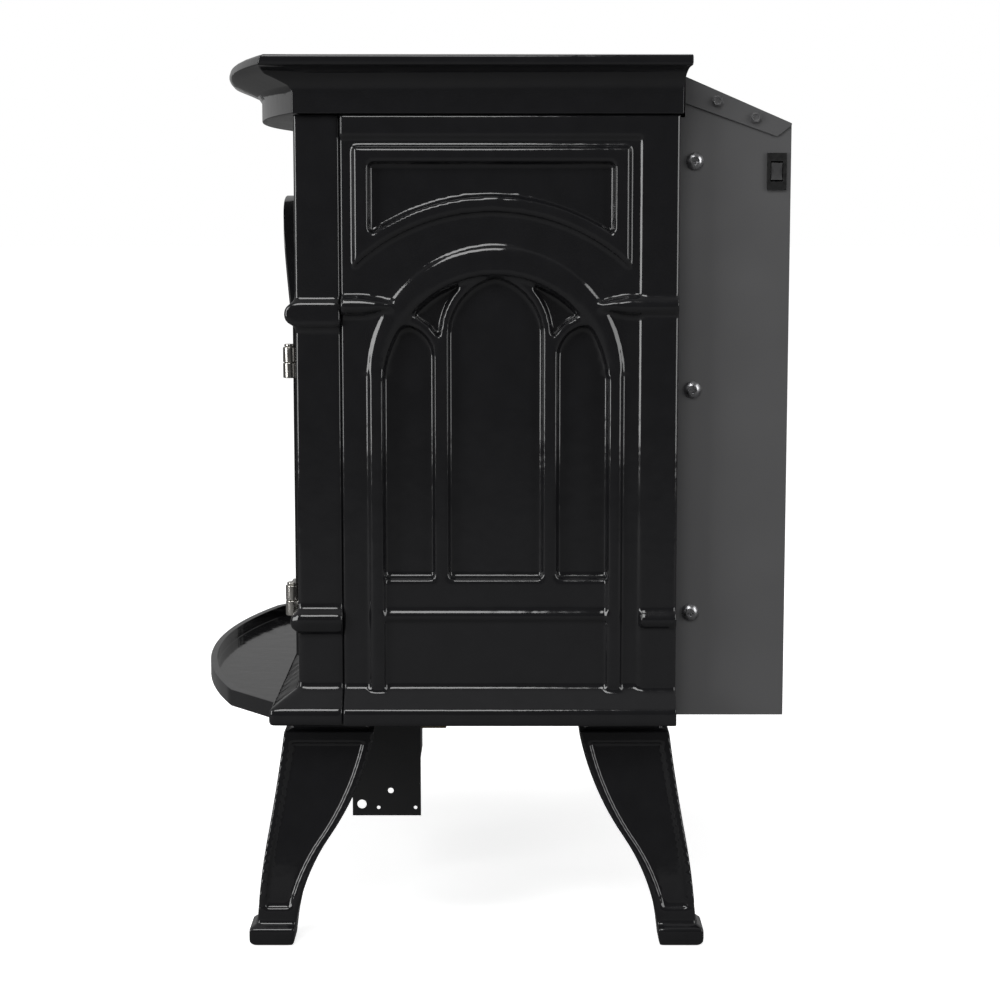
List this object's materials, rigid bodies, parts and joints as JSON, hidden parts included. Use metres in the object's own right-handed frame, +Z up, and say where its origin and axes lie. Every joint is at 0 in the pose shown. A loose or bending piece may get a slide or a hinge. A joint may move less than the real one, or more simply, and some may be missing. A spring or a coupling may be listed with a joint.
{
  "type": "gas heating stove",
  "caption": "Free-standing cast-iron gas stove in black enamel with a coved top, arched tracery, cabriole legs, an arched glazed door, a hearth tray and a rear blower casing.",
  "frame": {"origin": "on the floor under the middle of the stove's overall box", "axes": "+X to the right seen from the front, the door faces -Y, +Z up"},
  "size_m": [0.606, 0.48, 0.69],
  "materials": {
    "black_enamel": "glossy black porcelain enamel over cast iron",
    "bare_iron": "matt black cast iron",
    "grey_paint": "satin dark grey paint on sheet steel",
    "bright_screw": "zinc-plated steel",
    "nickel": "polished nickel plate",
    "black_plastic": "black moulded plastic",
    "rubber": "black rubber",
    "sheet_steel": "plain sheet steel",
    "motor": "black motor can",
    "valve_alloy": "die-cast alloy",
    "brass": "machined brass",
    "fibre_board": "ceramic fibre board",
    "log_ceramic": "painted ceramic fibre logs",
    "probe_ceramic": "white ceramic",
    "glass": "clear glass ceramic",
    "fibre_rope": "glass fibre rope"
  },
  "bodies": {
    "stove": {"top_plate": "black_enamel", "front_frame": "black_enamel", "side_panel_right": "black_enamel", "side_panel_left": "black_enamel", "back_plate": "bare_iron", "base_plate": "bare_iron", "hearth_tray": "black_enamel", "leg_front_right": "black_enamel", "leg_front_left": "black_enamel", "leg_rear_right": "black_enamel", "leg_rear_left": "black_enamel", "leg_bolts": "bright_screw", "tie_rods": "bright_screw", "rear_casing": "grey_paint", "casing_hood": "grey_paint", "casing_screws": "bright_screw", "hood_screws": "bright_screw", "fan_switch_housing": "black_plastic", "blower_housing": "sheet_steel", "blower_motor": "motor", "lead_gland": "rubber", "hinge_frame_knuckles": "nickel", "hinge_pins": "nickel", "firebox_shell": "sheet_steel", "liner_back": "fibre_board", "liner_sides": "fibre_board", "heat_baffle": "sheet_steel", "burner": "sheet_steel", "venturi": "sheet_steel", "ember_bed": "fibre_board", "grate": "bare_iron", "log_rear": "log_ceramic", "log_front_left": "log_ceramic", "log_front_right": "log_ceramic", "log_top": "log_ceramic", "pilot_burner": "sheet_steel", "pilot_probes": "probe_ceramic", "valve_bracket": "grey_paint", "gas_valve": "valve_alloy", "pilot_tube": "sheet_steel", "injector": "brass", "gas_regulator": "valve_alloy", "inlet_fitting": "brass", "igniter_sleeve": "black_plastic"},
    "door": {"door_frame": "black_enamel", "door_glass": "glass", "glass_gasket": "fibre_rope", "glass_clips": "bright_screw", "clip_screws": "bright_screw", "door_rope": "fibre_rope", "door_pull": "nickel", "hinge_door_knuckles": "nickel"},
    "gas_control": {"gas_knob": "black_plastic", "gas_knob_stem": "sheet_steel"},
    "flame_control": {"flame_knob": "black_plastic", "flame_knob_stem": "sheet_steel"},
    "igniter": {"igniter_button": "black_plastic"},
    "fan_switch": {"fan_rocker": "black_plastic"},
    "blower": {"blower_wheel": "sheet_steel"}
  },
  "joints": [
    {"name": "door_swing", "type": "hinge", "parent": "stove", "child": "door", "pos_m": [0.235, -0.1485, 0.36], "axis": [0, 0, 1], "range_deg": [0, 110]},
    {"name": "gas_turn", "type": "hinge", "parent": "stove", "child": "gas_control", "pos_m": [0.036, -0.13, 0.128], "axis": [0, -1, 0], "range_deg": [0, 180]},
    {"name": "flame_turn", "type": "hinge", "parent": "stove", "child": "flame_control", "pos_m": [0.076, -0.13, 0.128], "axis": [0, -1, 0], "range_deg": [0, 90]},
    {"name": "igniter_push", "type": "slide", "parent": "stove", "child": "igniter", "axis": [0, 1, 0], "range_m": [0, 0.006], "stiffness_N_per_m": 400},
    {"name": "rocker_tilt", "type": "hinge", "parent": "stove", "child": "fan_switch", "pos_m": [0.259, 0.228, 0.6042], "axis": [0, 1, 0], "range_deg": [-8, 8]},
    {"name": "blower_spin", "type": "hinge", "parent": "stove", "child": "blower", "pos_m": [0, 0.196, 0.217], "axis": [1, 0, 0], "continuous": true}
  ]
}
